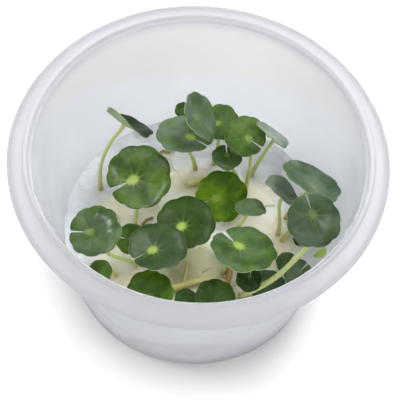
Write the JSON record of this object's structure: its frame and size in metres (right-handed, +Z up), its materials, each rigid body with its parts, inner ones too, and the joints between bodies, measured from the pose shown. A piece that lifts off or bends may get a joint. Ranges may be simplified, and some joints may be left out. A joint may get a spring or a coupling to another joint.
{
  "type": "tissue culture pennywort",
  "caption": "Pennywort plantlets with round scalloped leaves, growing on beige nutrient gel in a round translucent plastic tissue culture cup.",
  "frame": {"origin": "centre of the cup's foot, on the surface that it stands on", "axes": "+Z up along the cup's axis, +Y away from the viewer of the picture, +X to the viewer's right"},
  "size_m": [0.1, 0.1, 0.0603],
  "materials": {
    "cup_plastic": "frosted translucent",
    "gel": "moist translucent gel",
    "leaf": "waxy leaf",
    "young_leaf": "waxy leaf",
    "petiole": "smooth stem",
    "runner": "smooth stem"
  },
  "bodies": {
    "root": {"cup": "cup_plastic", "gel": "gel", "runner_front": "runner", "runner_back": "runner", "runner_right": "runner", "leaf_01": "young_leaf", "leaf_02": "young_leaf", "leaf_03": "leaf", "leaf_04": "young_leaf", "leaf_05": "young_leaf", "leaf_06": "leaf", "leaf_07": "leaf", "leaf_08": "young_leaf", "leaf_09": "young_leaf", "leaf_10": "leaf", "leaf_11": "young_leaf", "leaf_12": "young_leaf", "leaf_13": "leaf", "leaf_14": "young_leaf", "leaf_15": "leaf", "leaf_16": "leaf", "leaf_17": "leaf", "leaf_18": "leaf", "leaf_19": "leaf", "leaf_20": "leaf", "leaf_21": "leaf", "leaf_22": "leaf", "leaf_23": "leaf", "leaf_24": "leaf", "leaf_25": "leaf", "leaf_26": "leaf", "petiole_01": "petiole", "petiole_02": "petiole", "petiole_03": "petiole", "petiole_04": "petiole", "petiole_05": "petiole", "petiole_06": "petiole", "petiole_07": "petiole", "petiole_08": "petiole", "petiole_09": "petiole", "petiole_10": "petiole", "petiole_11": "petiole", "petiole_12": "petiole", "petiole_13": "petiole", "petiole_14": "petiole", "petiole_15": "petiole", "petiole_16": "petiole", "petiole_17": "petiole", "petiole_18": "petiole", "petiole_19": "petiole", "petiole_20": "petiole", "petiole_21": "petiole", "petiole_22": "petiole", "petiole_23": "petiole", "petiole_24": "petiole", "petiole_25": "petiole", "petiole_26": "petiole"}
  },
  "joints": []
}
